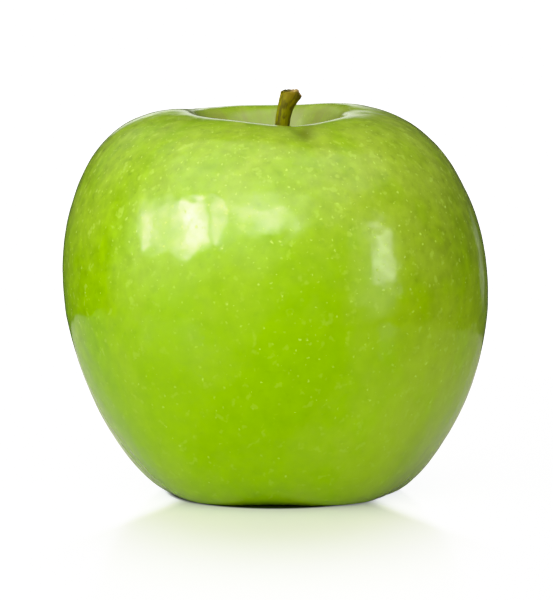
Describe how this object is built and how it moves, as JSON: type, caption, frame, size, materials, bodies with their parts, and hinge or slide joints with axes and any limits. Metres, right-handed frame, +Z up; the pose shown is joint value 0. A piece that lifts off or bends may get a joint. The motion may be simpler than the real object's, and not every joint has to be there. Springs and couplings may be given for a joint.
{
  "type": "green apple",
  "caption": "Whole green apple with a short woody stem in its hollow and a dry calyx underneath, standing on the flat foot of its base.",
  "frame": {"origin": "the middle of the fruit's footprint, on the surface that it stands on", "axes": "+Z up along the fruit's core line, -Y towards the side that faces the camera, +X to the right as seen from that side"},
  "size_m": [0.08, 0.0788, 0.0763],
  "materials": {
    "green_skin": "gloss",
    "stem_wood": "matte",
    "dry_calyx": "matte"
  },
  "bodies": {
    "root": {"fruit": "green_skin", "stem": "stem_wood", "calyx": "dry_calyx"}
  },
  "joints": []
}
